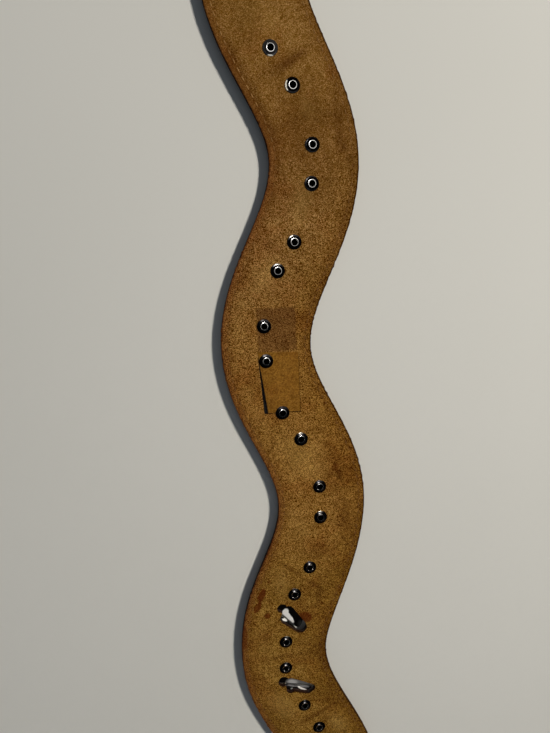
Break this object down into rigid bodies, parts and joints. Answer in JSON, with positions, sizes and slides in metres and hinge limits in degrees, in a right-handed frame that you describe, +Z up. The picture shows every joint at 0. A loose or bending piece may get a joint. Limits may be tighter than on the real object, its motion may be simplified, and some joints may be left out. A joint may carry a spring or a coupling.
{
  "type": "serpentine leather belt with riveted metal plates",
  "caption": "Serpentine two-ply leather belt lying lining up, with a row of metal plates riveted to its front, two slots near the tail and a plain hook clasp.",
  "frame": {"origin": "under the middle of the belt's outline, on the surface that the plates lie on", "axes": "+Z up out of the lining, +Y along the belt towards the hook, +X to the right as seen from the lining's side"},
  "size_m": [0.0854, 0.8188, 0.0084],
  "materials": {
    "leather": "smooth waxed brown leather",
    "suede": "napped tan suede lining, mottled, darker at its edges",
    "smooth_leather": "smooth golden brown leather",
    "gunmetal": "glossy dark gunmetal plating",
    "silver": "polished silver-tone metal, darkened in its recesses"
  },
  "bodies": {
    "root": {"front_leather": "leather", "front_leather_slot_one": "leather", "front_leather_slot_two": "leather", "front_leather_tail": "leather", "back_lining_head": "suede", "back_lining": "suede", "back_lining_slot_one": "suede", "back_lining_slot_two": "suede", "back_lining_tail": "suede", "lining_patch": "smooth_leather", "hook_clasp": "silver", "plate_01": "silver", "plate_02": "silver", "plate_03": "silver", "plate_04": "silver", "plate_05": "silver", "plate_06": "silver", "plate_07": "silver", "plate_08": "silver", "plate_09": "silver", "plate_10": "silver", "plate_11": "silver", "plate_12": "silver", "plate_13": "silver", "plate_14": "silver", "plate_15": "silver", "plate_16": "silver", "plate_17": "silver", "washer_02_upper": "gunmetal", "washer_02_lower": "gunmetal", "washer_03_upper": "gunmetal", "washer_03_lower": "gunmetal", "washer_04_upper": "gunmetal", "washer_04_lower": "gunmetal", "washer_05_upper": "gunmetal", "washer_05_lower": "gunmetal", "washer_06_upper": "gunmetal", "washer_06_lower": "gunmetal", "washer_07_upper": "gunmetal", "washer_07_lower": "gunmetal", "washer_08_upper": "gunmetal", "washer_08_lower": "gunmetal", "washer_09_upper": "gunmetal", "washer_09_lower": "gunmetal", "washer_10_upper": "gunmetal", "washer_10_lower": "gunmetal", "washer_11_upper": "gunmetal", "washer_11_lower": "gunmetal", "washer_12_upper": "gunmetal", "washer_12_lower": "gunmetal", "washer_13_upper": "gunmetal", "washer_13_lower": "gunmetal", "washer_14_upper": "gunmetal", "washer_14_lower": "gunmetal", "washer_15_upper": "gunmetal", "washer_15_lower": "gunmetal", "washer_16_upper": "gunmetal", "washer_16_lower": "gunmetal", "washer_17_upper": "gunmetal", "washer_17_lower": "gunmetal"}
  },
  "joints": []
}
